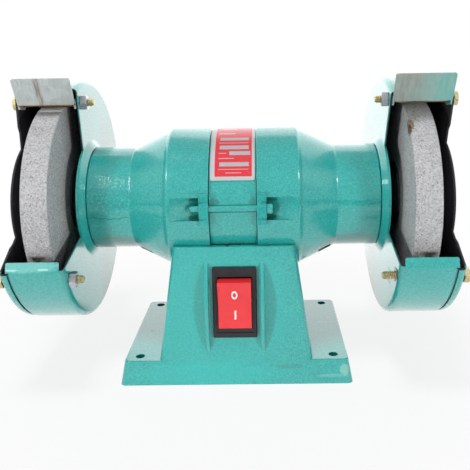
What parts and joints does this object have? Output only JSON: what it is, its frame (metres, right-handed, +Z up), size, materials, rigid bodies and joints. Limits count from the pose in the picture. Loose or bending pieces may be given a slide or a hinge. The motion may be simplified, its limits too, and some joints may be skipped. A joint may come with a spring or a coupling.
{
  "type": "bench grinder",
  "caption": "Double-ended bench grinder: cast pedestal with rocker switch, round motor, guarded grinding wheels on one shaft, tilting spark deflectors.",
  "frame": {"origin": "On the bench, in the middle of the whole outer box, which is 2.5 mm behind the middle of the base and of the shaft", "axes": "+X along the shaft to the right as seen from the switch, -Y towards the user at the switch side, +Z up"},
  "size_m": [0.3286, 0.1804, 0.2281],
  "materials": {
    "green_enamel": "glossy hammered enamel, blue-green",
    "zinc_plate": "bright zinc plate",
    "yellow_zinc": "yellow passivated zinc",
    "bright_steel": "turned steel",
    "galvanised_sheet": "galvanised sheet, stained",
    "abrasive_grit": "coarse grey vitrified aluminium oxide",
    "lamination_steel": "dark stacked steel",
    "copper_wire": "varnished copper wire",
    "black_iron": "dark oxide",
    "black_plastic": "black moulded",
    "red_plastic": "red moulded, semi-gloss",
    "nameplate_red": "red printed field in a grey frame, bare of lettering",
    "capacitor_shell": "pale grey can",
    "black_rubber": "black soft"
  },
  "bodies": {
    "frame": {"base_pedestal": "green_enamel", "bottom_cover": "bright_steel", "bottom_cover_screw_1": "zinc_plate", "bottom_cover_screw_2": "zinc_plate", "bottom_cover_screw_3": "zinc_plate", "bottom_cover_screw_4": "zinc_plate", "switch_body": "black_plastic", "capacitor": "capacitor_shell", "capacitor_clip": "zinc_plate", "cord_grommet": "black_rubber", "stator_housing": "green_enamel", "left_end_bell": "green_enamel", "right_end_bell": "green_enamel", "tie_bolt_1": "green_enamel", "tie_bolt_2": "green_enamel", "tie_bolt_3": "green_enamel", "stator_core": "lamination_steel", "left_winding": "copper_wire", "right_winding": "copper_wire", "motor_bolt_1": "zinc_plate", "motor_bolt_2": "zinc_plate", "nameplate": "nameplate_red", "left_bearing": "bright_steel", "right_bearing": "bright_steel", "left_guard_pan": "green_enamel", "right_guard_pan": "green_enamel", "left_guard_cover": "green_enamel", "right_guard_cover": "green_enamel", "left_guard_screw_1": "zinc_plate", "right_guard_screw_1": "zinc_plate", "left_guard_screw_2": "zinc_plate", "right_guard_screw_2": "zinc_plate", "left_guard_screw_3": "zinc_plate", "right_guard_screw_3": "zinc_plate", "left_upper_guard_bolt": "yellow_zinc", "right_upper_guard_bolt": "yellow_zinc", "left_upper_guard_nut": "zinc_plate", "right_upper_guard_nut": "zinc_plate", "left_lower_guard_bolt": "yellow_zinc", "right_lower_guard_bolt": "yellow_zinc", "left_lower_guard_nut": "zinc_plate", "right_lower_guard_nut": "zinc_plate", "left_rear_guard_bolt": "yellow_zinc", "right_rear_guard_bolt": "yellow_zinc", "left_rear_guard_nut": "zinc_plate", "right_rear_guard_nut": "zinc_plate"},
    "rotor": {"rotor_shaft": "bright_steel", "rotor_core": "lamination_steel", "left_inner_flange": "black_iron", "right_inner_flange": "black_iron", "left_outer_flange": "black_iron", "right_outer_flange": "black_iron", "left_grinding_wheel": "abrasive_grit", "right_grinding_wheel": "abrasive_grit", "left_arbor_nut": "zinc_plate", "right_arbor_nut": "zinc_plate"},
    "rocker": {"switch_rocker": "red_plastic"},
    "left_deflector": {"left_spark_deflector": "galvanised_sheet"},
    "right_deflector": {"right_spark_deflector": "galvanised_sheet"}
  },
  "joints": [
    {"name": "rotor_spin", "type": "hinge", "parent": "frame", "child": "rotor", "pos_m": [0, -0.00252, 0.1315], "axis": [1, 0, 0], "continuous": true},
    {"name": "switch_rock", "type": "hinge", "parent": "frame", "child": "rocker", "pos_m": [0, -0.0551, 0.06359], "axis": [1, 0, 0], "range_deg": [-16, 0]},
    {"name": "left_deflector_tilt", "type": "hinge", "parent": "frame", "child": "left_deflector", "pos_m": [-0.137, -0.02052, 0.20883], "axis": [1, 0, 0], "range_deg": [0, 30]},
    {"name": "right_deflector_tilt", "type": "hinge", "parent": "frame", "child": "right_deflector", "pos_m": [0.137, -0.03202, 0.20876], "axis": [1, 0, 0], "range_deg": [0, 30]}
  ]
}
